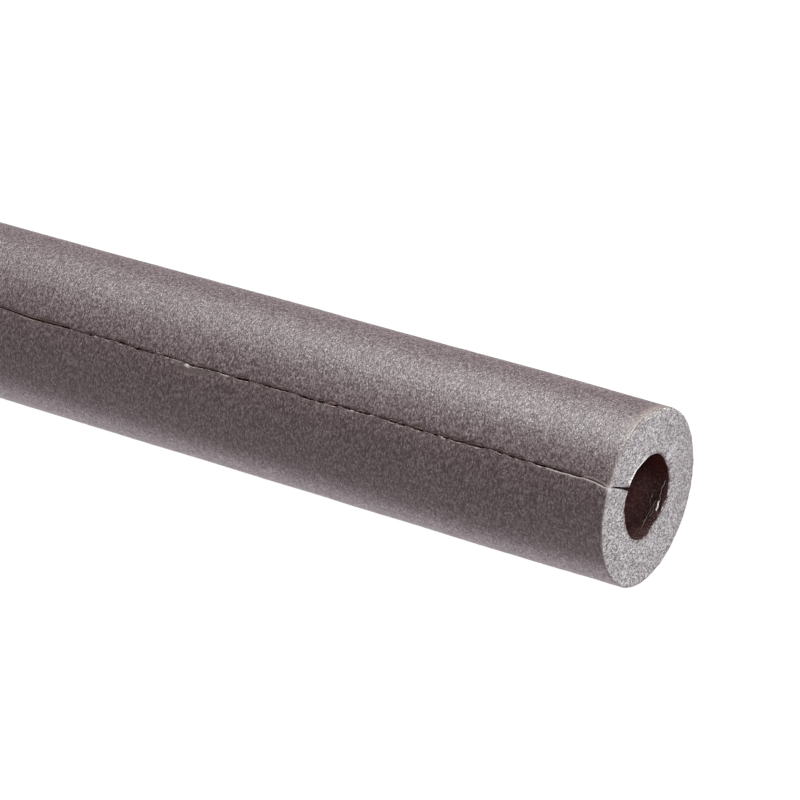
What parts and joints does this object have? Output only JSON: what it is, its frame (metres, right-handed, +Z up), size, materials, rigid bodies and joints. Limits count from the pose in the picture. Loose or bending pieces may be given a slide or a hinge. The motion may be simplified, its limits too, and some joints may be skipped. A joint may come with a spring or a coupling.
{
  "type": "pipe insulation lagging",
  "caption": "Straight grey foam tube with a round bore and a lengthwise slit through its wall, opened and pushed over a pipe to insulate it.",
  "frame": {"origin": "on the axis of the bore, at mid-length", "axes": "+X along the bore towards the near cut end, +Z up, and the slit faces -Y, 31.5 degrees above the horizontal"},
  "size_m": [1, 0.035, 0.035],
  "materials": {
    "grey_foam": "matte closed-cell foam with a faint sheen on the skin"
  },
  "bodies": {
    "root": {"foam_tube": "grey_foam"}
  },
  "joints": []
}
